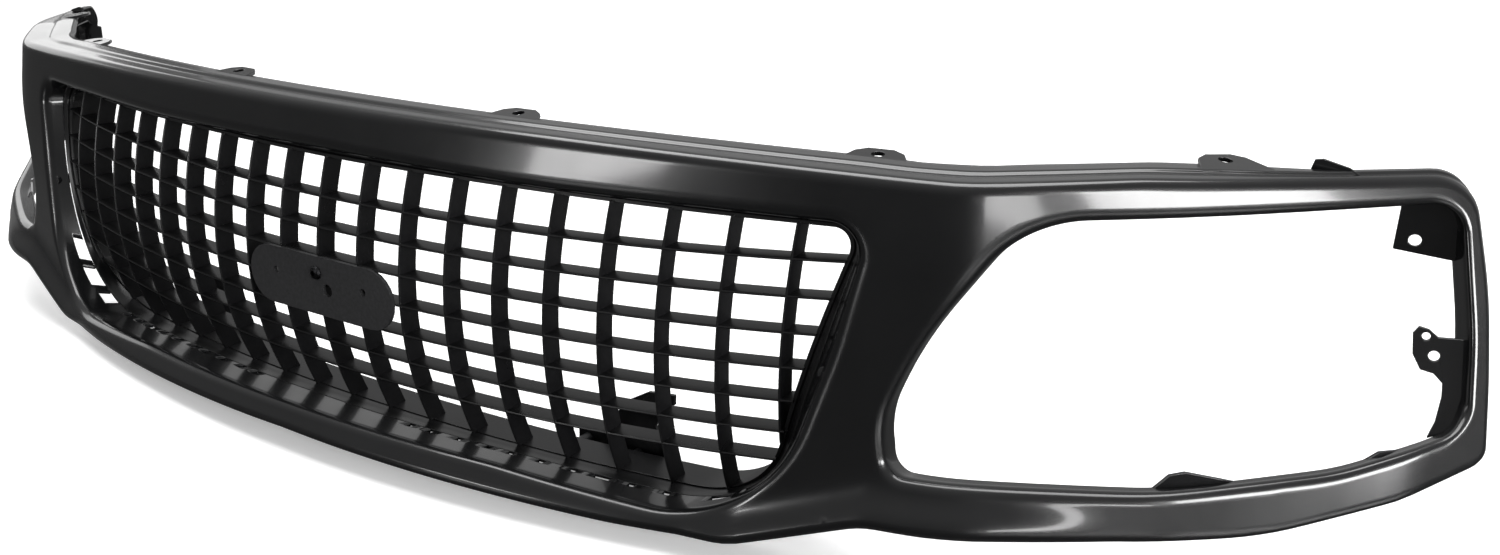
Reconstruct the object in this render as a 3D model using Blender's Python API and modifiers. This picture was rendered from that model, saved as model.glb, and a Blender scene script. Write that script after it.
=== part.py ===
"""Front grille: one-piece outer shell with two headlamp surrounds, and an egg-crate insert.

Frame: origin on the front face of the emblem seat plate, +X to the viewer's right when
facing the grille, +Z up, the front looks along -Y.  Sizes below are in millimetres.
"""
import math

import bmesh
import bpy
import numpy as np
from mathutils import Matrix, Vector

MM = 0.001
GAP = 0.3                      # play left between pieces that touch

# ---------------------------------------------------------------- driving sizes
BAR_PITCH = 44.45              # spacing of the upright bars
ROW_PITCH = 24.5               # spacing of the cross slats
BARS_PER_SIDE = 9              # bars either side of the middle one
SLATS_PER_SIDE = 3             # slats above and below the middle one
FIN_THICKNESS = 2.2
FIN_DEPTH = 17.0

SHELL_WALL = 2.6
RIM_RADIUS = 8.0               # rolled front edge of the central opening
LAMP_RIM_RADIUS = 8.0          # rolled front edge of the headlamp openings
EDGE_RADIUS = 7.0              # rolled outer edge of the shell
WALL_SHARE = 0.58              # share of the way from the rim to the insert's frame that
                               # the shell covers; the insert's collar covers the rest
SEAM = 0.8                     # open seam between the shell's wall and the collar
COLLAR_THICKNESS = 2.2
COLLAR_STEP = 2.0
LAMP_WALL = 22.0               # depth of the flange inside a headlamp opening
RETURN_DEPTH = 22.0            # depth of the return flange along the bottom and the ends
LAMP_TUCK = 9.0               # how far the lamp flange turns inwards at the outer end
END_TUCK = 5.0                 # the same for the return flange
END_SHARPNESS = 0.6            # share of the edge radius given up at the thin outer ends
STEP_HEIGHT = 2.0              # step half way back along the top ledge
CREASE_HEIGHT = 148.0          # height of the crease between the face and the top ledge
TOE = 9.0                      # how far the bottom edge stands proud of the face
LAMP_DROP = 6.0                # how far the lower flange of a headlamp opening falls backwards
BOSS_OVERLAP = 9.0             # how far a boss runs forward beside the opening's wall

# outlines in (x, z), right half, and the radius at each corner
CENTRE_OPENING = [(0, 114), (220, 111.5), (455, 116.5), (441, 30), (405, -99), (200, -88.5),
                  (0, -87.5)]
CENTRE_RADII = [0, 1500, 22, 250, 100, 500, 0]
CENTRE_SPLITS = [(448, 110), (390, -73)]
LAMP_OPENING = [(640, 129.5), (779, 134), (798, 50), (805, -5), (736, -26), (640, -37),
                (484, -41), (476, -8), (492, 42), (543, 125)]
LAMP_RADII = [0, 24, 300, 18, 150, 400, 15, 60, 250, 62]
LAMP_SPLITS = [(774, 126), (800, 1), (487, -37), (547, 118)]
OUTER_EDGE = [(0, 148), (505, 148), (600, 153), (783, 151.5), (805, 75), (814, 20), (820, -27),
              (772, -46), (700, -65), (560, -73), (474, -77), (385, -110), (300, -111.5),
              (0, -106.5)]
OUTER_RADII = [0, 200, 200, 36, 400, 500, 12, 100, 200, 400, 70, 70, 400, 0]
OUTER_SPLITS = [(512, 148.5), (776, 144), (816, -26), (455, -86)]
PILLAR_MIDDLE = [(468, 60), (450, -20)]         # line down the middle of the pillar

# columns of faces along each stretch of the outlines, and rows across the face
TOP_COLUMNS, SIDE_COLUMNS, BOTTOM_COLUMNS = 14, 10, 14
LAMP_TOP_COLUMNS, END_COLUMNS, LAMP_BOTTOM_COLUMNS = 12, 10, 12
FACE_ROWS = 3
ROLL_ROWS = 2

# insert
FRAME_OUTLINE = [(0, 106), (443, 109), (417, 10), (386, -108), (0, -108)]
FRAME_RADII = [0, 16, 250, 76, 0]
FRAME_SPLITS = [(437, 104), (374, -92)]
FRAME_SETBACK = 3.0            # the fins stand this far in front of the frame's edge
FRAME_WALL = 3.0
FRAME_LIP = 4.0
FRAME_DEPTH = 34.0
SLAT_CROWN = 6.3e-5            # rise of the slats towards the sides, per mm squared

# emblem seat
SEAT_LENGTH, SEAT_HEIGHT, SEAT_THICKNESS = 166.0, 50.0, 3.0
PIN_HOLES = [(-50.7, 4.5), (50.7, 4.5)]
PIN_HOLE_RADIUS = 3.2
CENTRE_HOLE = (9.8, -2.1)
CENTRE_HOLE_RADIUS = 5.4
SEAT_SCREW = (-1.8, 11.2)

# fixings
LEDGE_TABS = [160.8, 436.4, 638.5]          # distance of each tab from the middle
TAB_OUTLINE = [(-26, -18), (26, -18), (17, 4), (9, 10), (-9, 10), (-17, 4)]
TAB_THICKNESS = 3.2
TAB_HOLE_RADIUS = 4.5
BOSS_RADIUS = 5.0
EAR_THICKNESS = 3.0
EAR_HALF = 12.0                             # half the width of an ear of the insert
EAR_MARKS = [(150, 110), (300, 110), (425, 15), (290, -112), (150, -112), (0, -112)]
EAR_DEPTH = 14.0                            # the ears sit this far behind the fin fronts
EAR_REACH = 8.0                             # how far an ear passes the middle of its boss
BRACKET_BOSSES = [208, 258]                 # screws of a lower bracket, from the middle
BRACKET_BOSS_HEIGHT = -112.0
BRACKET_BOSS_FRONT = 60.0
BRACKET_DEPTH = 82.0                        # y of the front of a lower bracket
BRACKET_OUTLINE = [(198, -120), (284, -120), (284, -108), (273, -84), (279, -70), (290, -62),
                   (290, -54), (266, -57), (248, -68), (234, -84), (218, -104), (198, -104)]
UPPER_LAMP_TAB = [(744, 95), (776, 93), (784, 93), (782, 122), (774, 131), (744, 128)]
LOWER_LAMP_TAB = [(765, 44), (768, 49), (774, 48), (780, 44), (797, 46), (800, 8), (799, -12),
                  (784, -20), (787, -9), (788, 7), (787, 16), (781, 21), (773, 22), (767, 31)]
LOWER_TAB_LEAN = 0.33                       # the lower tab leans back by this slope
UPPER_TAB_DEPTH = 283.0
LOWER_TAB_DEPTH = 262.0
LAMP_TAB_HOLES = [(756, 103, 284, 4.0), (773, 43.5, 263, 2.6), (779.5, 32, 259, 3.4)]
# slots in the wall at the lower corners: ends along the rim, then shares of the way back
CORNER_SLOTS = [((427, -34), (418, -60), 0.27), ((411, -68), (391, -83), 0.27),
                ((383, -87), (358, -93), 0.32)]
DRAIN_SLOTS = [(x, 0.44) for x in range(331, 90, -26)]
DRAIN_WIDTH = 8.0
RAIL_TABS = [(660, 130, -45, [(-34, -2), (-20, 12), (-10, 14), (30, 6), (34, -2)]),
             (764, 208, -27, [(-24, -4), (-8, 6), (8, 7), (20, 4), (22, -4)])]


# ---------------------------------------------------------------- the front surface
def soft_ramp(x, width):
    """Zero well below x = 0, equal to x well above it, with a smooth turn between."""
    return width * np.logaddexp(0.0, x / width)


def upper_plan(x):
    """Depth of the top crease: a shallow crown, then two steps of sweep to the corner."""
    x = np.abs(x)
    return 12 + 2.0e-4 * x**2 + 0.45 * soft_ramp(x - 512, 10) + 0.20 * soft_ramp(x - 640, 12)


def lean(x):
    """How far the face comes forward for each millimetre down from the crease."""
    x = np.abs(x)
    middle = 0.078 * np.clip(1 - (x / 350)**2, 0, 1)
    return np.minimum(0.13 + middle + 0.0012 * soft_ramp(x - 500, 15), 0.46)


def toe(x, z):
    """The lip that the bottom edge pushes forward, out to the headlamp."""
    x = np.abs(x)
    above = z - np.interp(x, [385, 475, 560], [-108, -72, -67])
    return np.interp(x, [540, 620], [TOE, 0]) * np.exp(-(above / 16)**2)


def face_depth(x, z):
    """Y of the outer face of the shell."""
    return upper_plan(x) - lean(x) * (CREASE_HEIGHT - z) - toe(x, z)


def insert_depth(x, z):
    """Y of the front edges of the fins."""
    up = z - 7.3
    return 2.25e-4 * x**2 + 2.6e-10 * x**4 + 1.786e-3 * up**2 - 8.6e-7 * up**3


# ---------------------------------------------------------------- outlines
def rounded_path(corners, radii, arc_step=6):
    """Polyline through the corners with each corner rounded to its radius."""
    points = [np.array(corners[0], float)]
    for before, corner, after, radius in zip(corners, corners[1:], corners[2:], radii[1:]):
        before, corner, after = (np.array(p, float) for p in (before, corner, after))
        into = (corner - before) / np.linalg.norm(corner - before)
        out = (after - corner) / np.linalg.norm(after - corner)
        turn = math.acos(max(-1.0, min(1.0, float(into @ out))))
        tangent = radius * math.tan(turn / 2)
        side = math.copysign(1.0, into[0] * out[1] - into[1] * out[0])
        start = corner - into * tangent
        centre = start + side * radius * np.array([-into[1], into[0]])
        steps = max(2, math.ceil(math.degrees(turn) / arc_step))
        for k in range(steps + 1):
            a = side * turn * k / steps
            spin = np.array([[math.cos(a), -math.sin(a)], [math.sin(a), math.cos(a)]])
            points.append(centre + spin @ (start - centre))
    points.append(np.array(corners[-1], float))
    return np.array(points)


def closed_path(corners, radii):
    """Closed rounded outline that starts in the middle of its first straight."""
    return rounded_path(corners + [corners[0]], radii + [0])


def split_path(path, marks):
    """Cut a polyline at the points nearest to the marks."""
    dense = resample(path, 1200, corner_weight=0)
    cuts = [int(np.argmin(np.linalg.norm(dense - np.array(m, float), axis=1))) for m in marks]
    edges = [0] + cuts + [len(dense) - 1]
    return [dense[a:b + 1] for a, b in zip(edges, edges[1:])]


def resample(path, count, corner_weight=70.0):
    """Even spacing along the path, closer together where the path turns."""
    step = np.diff(path, axis=0)
    length = np.linalg.norm(step, axis=1)
    heading = np.unwrap(np.arctan2(step[:, 1], step[:, 0]))
    turn = np.zeros(len(path))
    turn[1:-1] = np.abs(np.diff(heading))
    weight = length + corner_weight * 0.5 * (turn[:-1] + turn[1:])
    along = np.concatenate([[0], np.cumsum(weight)])
    wanted = np.linspace(0, along[-1], count + 1)
    return np.stack([np.interp(wanted, along, path[:, k]) for k in (0, 1)], axis=1)


def alongside(path, inner, spread=0.3):
    """Points of a path at the x of an inner stretch, drawn to the path's ends at the ends."""
    t = np.linspace(0, 1, len(inner))
    first = (path[0, 0] - inner[0, 0]) * np.clip(1 - t / spread, 0, 1)**2
    last = (path[-1, 0] - inner[-1, 0]) * np.clip(1 - (1 - t) / spread, 0, 1)**2
    x = inner[:, 0] + first + last
    order = np.argsort(path[:, 0])
    return np.stack([x, np.interp(x, path[order, 0], path[order, 1])], axis=1)


def outward(loop, closed=False):
    """Unit normals on the left of a clockwise path, that is away from its middle."""
    if closed:
        tangent = np.roll(loop, -1, axis=0) - np.roll(loop, 1, axis=0)
    else:
        tangent = np.gradient(loop, axis=0)
        tangent[0, 1] = 0.0 if abs(loop[0, 0]) < 1e-6 else tangent[0, 1]
        tangent[-1, 1] = 0.0 if abs(loop[-1, 0]) < 1e-6 else tangent[-1, 1]
    tangent /= np.linalg.norm(tangent, axis=1, keepdims=True)
    return np.stack([-tangent[:, 1], tangent[:, 0]], axis=1)


def join(stretches):
    """One polyline from stretches that share their end points."""
    return np.concatenate([stretches[0]] + [s[1:] for s in stretches[1:]])


# ---------------------------------------------------------------- mesh helpers
def add_grid(bm, rows, closed=False):
    """Quads between rows of (x, y, z) points."""
    made = [[bm.verts.new(Vector(p) * MM) for p in row] for row in rows]
    for lower, upper in zip(made, made[1:]):
        count = len(lower)
        for k in range(count if closed else count - 1):
            n = (k + 1) % count
            bm.faces.new((lower[k], lower[n], upper[n], upper[k]))


def lifted(outline, depth):
    """(x, y, z) points from an (x, z) outline and the depth of each point."""
    return np.stack([outline[:, 0], depth, outline[:, 1]], axis=1)


def on_face(outline):
    return lifted(outline, face_depth(outline[:, 0], outline[:, 1]))


def towards(start, end, distance):
    """Points the given distance along the lines from start to end."""
    along = end - start
    return start + along * (distance / np.linalg.norm(along, axis=1))[:, None]


def roll(before, corner, after):
    """Rows that round a corner line between two lines beside it."""
    rows = []
    for k in range(ROLL_ROWS + 1):
        t = k / ROLL_ROWS
        rows.append((1 - t)**2 * before + 2 * t * (1 - t) * corner + t**2 * after)
    return rows


def rolled_rows(loop, inner, radius, back):
    """Rows from the back of an opening's wall, round its rolled front edge, to the face."""
    corner = on_face(loop)
    return [back] + roll(towards(corner, back, radius), corner, on_face(inner))


def end_radius(radius, normal, outline):
    """Edge radius for each point, smaller where the shell is thin at its outer ends."""
    end = np.clip(normal[:, 0], 0, 1) * (outline[:, 0] > 700)
    return radius * (1 - END_SHARPNESS * end)[:, None]


def face_rows(inner, outer):
    """Rows across the face between the rim of an opening and the outer loop."""
    rows = []
    for k in range(1, FACE_ROWS + 1):
        ring = inner + (outer - inner) * k / FACE_ROWS
        rows.append(lifted(ring, face_depth(ring[:, 0], ring[:, 1])))
    return rows


# ---------------------------------------------------------------- the shell
def ledge_depth(x):
    """How far the top ledge runs back behind the crease."""
    return np.interp(np.abs(x), [160, 436, 470, 530, 590, 640, 700], [42, 48, 44, 56, 52, 45, 20])


def divided(corners, radii, splits, fineness=1):
    """Top, side and bottom of the right half of an outline, each divided into columns."""
    stretches = split_path(rounded_path(corners, radii), splits)
    counts = (TOP_COLUMNS, SIDE_COLUMNS, BOTTOM_COLUMNS)
    return [resample(part, n * fineness) for part, n in zip(stretches, counts)]


def rim_loop(fineness=1):
    return join(divided(CENTRE_OPENING, CENTRE_RADII, CENTRE_SPLITS, fineness))


def frame_loop(fineness=1):
    return join(divided(FRAME_OUTLINE, FRAME_RADII, FRAME_SPLITS, fineness))


def funnel(share, fineness=1):
    """Points part of the way from the rim of the central opening to the insert's frame."""
    rim, frame = rim_loop(fineness), frame_loop(fineness)
    front = lifted(rim, face_depth(rim[:, 0], rim[:, 1]) + RIM_RADIUS)
    back = lifted(frame, insert_depth(frame[:, 0], frame[:, 1]) + FRAME_SETBACK)
    return front + (back - front) * share


def funnel_normal(fineness=1):
    """Unit normals of the funnel on its hidden side."""
    away = outward(frame_loop(fineness))
    run = funnel(1, fineness) - funnel(0, fineness)
    spread = run[:, 0] * away[:, 0] + run[:, 2] * away[:, 1]
    length = np.hypot(spread, run[:, 1])
    return np.stack([away[:, 0] * run[:, 1], -spread, away[:, 1] * run[:, 1]],
                    axis=1) / length[:, None]


def shell_loops():
    """Matched inner and outer loops of the right half of the shell."""
    top, side, bottom = divided(CENTRE_OPENING, CENTRE_RADII, CENTRE_SPLITS)
    first, end, lower, pillar, last = split_path(closed_path(LAMP_OPENING, LAMP_RADII),
                                                 LAMP_SPLITS)
    upper = resample(np.concatenate([last, first[1:]]), LAMP_TOP_COLUMNS)
    end = resample(end, END_COLUMNS)
    lower = resample(lower, LAMP_BOTTOM_COLUMNS)

    edge = split_path(rounded_path(OUTER_EDGE, OUTER_RADII), OUTER_SPLITS)
    crest = join([alongside(edge[0], top), alongside(edge[1], upper),
                  resample(edge[2], END_COLUMNS), alongside(edge[3], lower),
                  alongside(edge[4], bottom)])
    normal = outward(crest)
    brow = crest - normal * end_radius(EDGE_RADIUS, normal, crest)
    a = TOP_COLUMNS
    b = len(brow) - 1 - BOTTOM_COLUMNS
    middle = rounded_path([brow[a]] + PILLAR_MIDDLE + [brow[b]], [0, 200, 200, 0])
    middle = resample(middle, SIDE_COLUMNS, corner_weight=0)
    centre_outer = join([brow[:a + 1], middle, brow[b:]])
    lamp_outer = join([brow[a:b + 1], middle[::-1]])
    centre = join([top, side, bottom])
    lamp = join([upper, end, lower, resample(pillar, SIDE_COLUMNS)])
    return centre, centre_outer, lamp, lamp_outer, crest, normal


def edge_rows(crest, normal):
    """Rows round the rolled outer edge, then back along the ledge and the return flange."""
    top = np.clip(normal[:, 1], 0, 1)**4
    end = np.clip(normal[:, 0], 0, 1)**2 * (crest[:, 0] > 700)
    depth = np.maximum(top * ledge_depth(crest[:, 0]) + (1 - top) * RETURN_DEPTH, 20)
    tuck = normal * (END_TUCK * end)[:, None]
    step = normal * (STEP_HEIGHT * top)[:, None]
    base = face_depth(crest[:, 0], crest[:, 1])
    corner = lifted(crest, base)
    half = lifted(crest - 0.5 * tuck, base + 0.5 * depth)
    riser = lifted(crest - 0.6 * tuck + step, base + 0.5 * depth + 2.5)
    rear = lifted(crest - tuck + step, base + depth)
    brow = on_face(crest - normal * end_radius(EDGE_RADIUS, normal, crest))
    rows = roll(brow, corner, towards(corner, half, EDGE_RADIUS))
    return rows + [half, riser, rear]


def shell_sheet(bm):
    """The outer skin of the right half, one sheet of quads facing outwards."""
    centre, centre_outer, lamp, lamp_outer, crest, normal = shell_loops()
    away = outward(centre)
    inner = centre + away * (RIM_RADIUS - 2.5 * np.clip(-away[:, 1:], 0, 1))
    rows = rolled_rows(centre, inner, RIM_RADIUS, funnel(WALL_SHARE))
    add_grid(bm, rows + face_rows(inner, centre_outer))

    away = outward(lamp[:-1], closed=True)
    away = np.concatenate([away, away[:1]])
    tuck = LAMP_TUCK * np.clip(away[:, 0], 0, 1)**2 - LAMP_DROP * np.clip(-away[:, 1], 0, 1)**2
    back = lifted(lamp - away * tuck[:, None], face_depth(lamp[:, 0], lamp[:, 1]) + LAMP_WALL)
    inner = lamp + away * end_radius(LAMP_RIM_RADIUS, away, lamp)
    rows = rolled_rows(lamp, inner, LAMP_RIM_RADIUS, back)
    add_grid(bm, rows + face_rows(inner, lamp_outer))

    add_grid(bm, edge_rows(crest, normal))
    bmesh.ops.remove_doubles(bm, verts=bm.verts[:], dist=2e-5)


# ---------------------------------------------------------------- objects
def material(name, colour, roughness, metallic=0.0):
    made = bpy.data.materials.new(name)
    made.use_nodes = True
    shader = made.node_tree.nodes["Principled BSDF"]
    shader.inputs["Base Color"].default_value = (*colour, 1.0)
    shader.inputs["Roughness"].default_value = roughness
    shader.inputs["Metallic"].default_value = metallic
    made.diffuse_color = (*colour, 1.0)
    return made


def mesh_object(name, bm, collection, look=None, smooth=True):
    mesh = bpy.data.meshes.new(name)
    bm.to_mesh(mesh)
    bm.free()
    obj = bpy.data.objects.new(name, mesh)
    collection.objects.link(obj)
    if look:
        mesh.materials.append(look)
    if smooth:
        mesh.polygons.foreach_set("use_smooth", [True] * len(mesh.polygons))
    return obj


def cutter(name, bm):
    obj = mesh_object(name, bm, cutters, smooth=False)
    obj.hide_render = True
    obj.display_type = "WIRE"
    return obj


def boolean(obj, other, operation):
    step = obj.modifiers.new(operation.lower() + "_" + other.name, "BOOLEAN")
    step.operation = operation
    step.object = other
    step.solver = "EXACT"


def push(bm, faces, distance):
    """Pull faces into a solid along Y."""
    pushed = bmesh.ops.extrude_face_region(bm, geom=faces, use_keep_orig=True)
    verts = [v for v in pushed["geom"] if isinstance(v, bmesh.types.BMVert)]
    bmesh.ops.translate(bm, vec=(0, distance * MM, 0), verts=verts)
    bmesh.ops.recalc_face_normals(bm, faces=bm.faces[:])


def prism(outline, front, back):
    """Solid between two depths with an (x, z) outline."""
    bm = bmesh.new()
    face = bm.faces.new([bm.verts.new(Vector((x, front, z)) * MM) for x, z in outline])
    push(bm, [face], back - front)
    return bm


def circle(centre, radius, count=24):
    return [(centre[0] + radius * math.cos(2 * math.pi * k / count),
             centre[1] + radius * math.sin(2 * math.pi * k / count)) for k in range(count)]


for old in list(bpy.data.objects):
    bpy.data.objects.remove(old, do_unlink=True)

grille = bpy.data.collections.new("front_grille")
cutters = bpy.data.collections.new("cutters")
for group in (grille, cutters):
    bpy.context.scene.collection.children.link(group)

gloss_black = material("gloss_black_shell", (0.012, 0.012, 0.013), 0.28)
satin_black = material("satin_black_insert", (0.016, 0.016, 0.017), 0.45)
screw_black = material("black_screw", (0.02, 0.02, 0.02), 0.35, 1.0)
steel = material("zinc_screw", (0.55, 0.55, 0.57), 0.35, 1.0)


def build_shell():
    bm = bmesh.new()
    shell_sheet(bm)
    shell = mesh_object("grille_shell", bm, grille, gloss_black)
    mirror = shell.modifiers.new("other_half", "MIRROR")
    mirror.use_axis = (True, False, False)
    mirror.use_mirror_merge = True
    mirror.merge_threshold = 0.0001
    skin = shell.modifiers.new("wall", "SOLIDIFY")
    skin.thickness = SHELL_WALL * MM
    skin.offset = -1.0
    boolean(shell, cutter("shell_tabs_and_bosses", shell_additions()), "UNION")
    boolean(shell, cutter("boss_ribs", boss_ribs()), "UNION")
    boolean(shell, cutter("lamp_tabs_right", lamp_additions(False)), "UNION")
    boolean(shell, cutter("lamp_tabs_left", lamp_additions(True)), "UNION")
    boolean(shell, cutter("wall_slots", wall_slots()), "DIFFERENCE")
    boolean(shell, cutter("shell_holes", shell_holes()), "DIFFERENCE")
    return shell


def merge(target, extra):
    """Move the faces of one bmesh into another."""
    part = bpy.data.meshes.new("part")
    extra.to_mesh(part)
    extra.free()
    target.from_mesh(part)
    bpy.data.meshes.remove(part)


def rod(centre, radius, front, back, count=20):
    """Cylinder along Y about an (x, z) centre."""
    bm = bmesh.new()
    middle = Vector((centre[0], (front + back) / 2, centre[1])) * MM
    matrix = Matrix.Translation(middle) @ Matrix.Rotation(math.pi / 2, 4, "X")
    bmesh.ops.create_cone(bm, cap_ends=True, segments=count, radius1=radius * MM,
                          radius2=radius * MM, depth=(back - front) * MM, matrix=matrix)
    return bm


def ledge_height(x):
    return np.interp(abs(x), [0, 440, 520, 640], [151.5, 150.5, 152.0, 157.0])


def tab_places():
    """Place of each fixing tab on the ledge: hole centre and turn about Z."""
    places = []
    for x in LEDGE_TABS:
        slope = (upper_plan(x + 5) - upper_plan(x - 5)) / 10
        y = upper_plan(x) + ledge_depth(x) + 6
        for side in (-1, 1):
            turn = side * math.atan(float(slope))
            spot = Vector((side * x, float(y), float(ledge_height(x)) - 1.2))
            places.append(Matrix.Translation(spot * MM) @ Matrix.Rotation(turn, 4, "Z"))
    return places


def tab_place_cut(place):
    """Hole through a ledge tab."""
    bm = bmesh.new()
    bmesh.ops.create_cone(bm, cap_ends=True, segments=20, radius1=TAB_HOLE_RADIUS * MM,
                          radius2=TAB_HOLE_RADIUS * MM, depth=12 * MM, matrix=place)
    return bm


def tab_plate(place):
    """Ledge tab: an outline in (x, y) laid flat."""
    bm = prism(TAB_OUTLINE, 0, TAB_THICKNESS)
    lie_flat = Matrix.Rotation(math.pi / 2, 4, "X") @ Matrix.Scale(-1, 4, (0, 1, 0))
    bmesh.ops.transform(bm, matrix=place @ lie_flat @ Matrix.Scale(-1, 4, (0, 0, 1)),
                        verts=bm.verts[:])
    bmesh.ops.recalc_face_normals(bm, faces=bm.faces[:])
    return bm


def ear_places():
    """Boss centre, outward direction, inner end, y of the ear and y of the boss's front."""
    frame = frame_loop(6)
    away = outward(frame)
    seam = funnel(WALL_SHARE, 6)
    places = []
    for mark in EAR_MARKS:
        k = int(np.argmin(np.linalg.norm(frame - np.array(mark, float), axis=1)))
        out = away[k]
        spread = max(float((seam[k, [0, 2]] - frame[k]) @ out), 0)
        boss = frame[k] + out * (spread + SHELL_WALL + BOSS_RADIUS + 0.8)
        inner = frame[k] - out * 1.5
        y = float(insert_depth(*frame[k])) + EAR_DEPTH
        front = float(seam[k, 1]) - BOSS_OVERLAP
        places.append((boss, out, inner, y, front))
        if mark[0]:
            flip = np.array([-1.0, 1.0])
            places.append((boss * flip, out * flip, inner * flip, y, front))
    return places


def bracket_places():
    """Boss centres of the two lower brackets."""
    return [(side * x, BRACKET_BOSS_HEIGHT) for side in (-1, 1) for x in BRACKET_BOSSES]


def lamp_tabs():
    """Moulded tabs inside the outer end of the right headlamp opening, and on its rail."""
    lower = prism(LOWER_LAMP_TAB, 0, 3)
    for vert in lower.verts:
        vert.co.y += LOWER_TAB_DEPTH * MM + LOWER_TAB_LEAN * (vert.co.z - 40 * MM)
    tabs = [prism(UPPER_LAMP_TAB, UPPER_TAB_DEPTH, UPPER_TAB_DEPTH + 3), lower]
    for x, y, z, outline in RAIL_TABS:
        slope = float(face_depth(x + 10, z) - face_depth(x - 10, z)) / 20
        turn = Matrix.Rotation(math.atan(slope), 4, "Z")
        tab = prism(outline, 0, SHELL_WALL)
        bmesh.ops.transform(tab, matrix=Matrix.Translation(Vector((x, y, z)) * MM) @ turn,
                            verts=tab.verts[:])
        tabs.append(tab)
    return tabs


def mirrored(bm):
    """The same faces on the other side of the middle."""
    bmesh.ops.scale(bm, vec=(-1, 1, 1), verts=bm.verts[:])
    bmesh.ops.reverse_faces(bm, faces=bm.faces[:])
    return bm


def shell_additions():
    """Tabs on the ledge and the screw bosses beside the opening."""
    bm = bmesh.new()
    for place in tab_places():
        merge(bm, tab_plate(place))
    for boss, out, inner, y, front in ear_places():
        merge(bm, rod(boss, BOSS_RADIUS, front, y, 12))
    return bm


def boss_ribs():
    """A rib from each lower boss up to the wall of the opening."""
    rim = funnel(WALL_SHARE, 6)[:, [0, 2]]
    bm = bmesh.new()
    for boss, out, inner, y, front in ear_places():
        if out[1] < -0.5:
            side = np.array([math.copysign(1.0, boss[0]), 1.0])
            foot = rim[int(np.argmin(np.linalg.norm(rim - boss * side, axis=1)))] * side
            across = np.array([1.5, 0.0])
            top = boss - out * 2
            merge(bm, prism([foot - across, foot + across, top + across, top - across],
                            front + 3, front + BOSS_OVERLAP - 1))
    return bm


def slab(first, last, near, far):
    """Curved block across the wall of the central opening, right half."""
    skin = funnel_normal(7) * 6
    rows = [funnel(near, 7) - skin, funnel(far, 7) - skin, funnel(far, 7) + skin,
            funnel(near, 7) + skin]
    rows = [row[first:last + 1] for row in rows + rows[:1]]
    bm = bmesh.new()
    add_grid(bm, rows)
    bmesh.ops.remove_doubles(bm, verts=bm.verts[:], dist=2e-5)
    bmesh.ops.holes_fill(bm, edges=bm.edges[:], sides=4)
    bmesh.ops.recalc_face_normals(bm, faces=bm.faces[:])
    return bm


def wall_slots():
    """Slots through the wall of the central opening: long at the corners, short below."""
    rim = rim_loop(7)

    def nearest(mark):
        return int(np.argmin(np.linalg.norm(rim - np.array(mark, float), axis=1)))

    spans = [(nearest(a), nearest(b), near) for a, b, near in CORNER_SLOTS]
    for x, near in DRAIN_SLOTS:
        spans.append((nearest((x, -90)), nearest((x - DRAIN_WIDTH, -90)), near))
    bm = bmesh.new()
    for first, last, near in spans:
        merge(bm, slab(first, last, near, 0.75))
        merge(bm, mirrored(slab(first, last, near, 0.75)))
    return bm


def lamp_additions(flip):
    bm = bmesh.new()
    for tab in lamp_tabs():
        merge(bm, mirrored(tab) if flip else tab)
    return bm


def shell_holes():
    bm = bmesh.new()
    for place in tab_places():
        merge(bm, tab_place_cut(place))
    for boss, out, inner, y, front in ear_places():
        merge(bm, rod(boss, 2.0 + GAP, y - 14, y + 5, 10))
    for side in (-1, 1):
        for x, z, y, radius in LAMP_TAB_HOLES:
            merge(bm, rod((side * x, z), radius, y - 8, y + 8, 16))
    return bm


# ---------------------------------------------------------------- the insert
def both_halves(right):
    """Closed clockwise loop from its right half."""
    left = right[::-1] * np.array([-1.0, 1.0])
    return np.concatenate([right, left[1:-1]])


def fin_lattice():
    """Bars and slats as one body: a sheet with a hole per cell, pushed back."""
    xs = [-447.0]
    for i in range(-BARS_PER_SIDE, BARS_PER_SIDE + 1):
        xs += [i * BAR_PITCH - FIN_THICKNESS / 2, i * BAR_PITCH + FIN_THICKNESS / 2]
    xs.append(447.0)
    zs = [-112.0]
    for j in range(-SLATS_PER_SIDE, SLATS_PER_SIDE + 1):
        zs += [j * ROW_PITCH - FIN_THICKNESS / 2, j * ROW_PITCH + FIN_THICKNESS / 2]
    zs.append(112.0)
    bm = bmesh.new()
    grid = {}

    def corner(a, b):
        if (a, b) not in grid:
            x = xs[a]
            z = zs[b] + SLAT_CROWN * x * x * (0 < b < len(zs) - 1)
            grid[a, b] = bm.verts.new(Vector((x, float(insert_depth(x, z)), z)) * MM)
        return grid[a, b]

    for a in range(len(xs) - 1):
        for b in range(len(zs) - 1):
            if a % 2 or b % 2:
                bm.faces.new((corner(a, b), corner(a + 1, b), corner(a + 1, b + 1),
                              corner(a, b + 1)))
    push(bm, bm.faces[:], FIN_DEPTH)
    return bm


def frame_half(inset):
    path = rounded_path(FRAME_OUTLINE, FRAME_RADII)
    loop = resample(path, 32)
    return loop - outward(loop) * inset


def frame_ring():
    """The wall round the fins, with a turned-out lip at the back."""
    outer = both_halves(frame_half(0))
    inner = both_halves(frame_half(FRAME_WALL))
    lip = both_halves(frame_half(-FRAME_LIP))
    rows = []
    for outline, behind in ((inner, FRAME_SETBACK), (outer, FRAME_SETBACK),
                            (outer, FRAME_DEPTH - 3), (lip, FRAME_DEPTH - 3),
                            (lip, FRAME_DEPTH), (inner, FRAME_DEPTH)):
        rows.append(lifted(outline, insert_depth(outline[:, 0], outline[:, 1]) + behind))
    rows.append(rows[0])
    bm = bmesh.new()
    add_grid(bm, rows, closed=True)
    bmesh.ops.remove_doubles(bm, verts=bm.verts[:], dist=2e-5)
    bmesh.ops.recalc_face_normals(bm, faces=bm.faces[:])
    return bm


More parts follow.
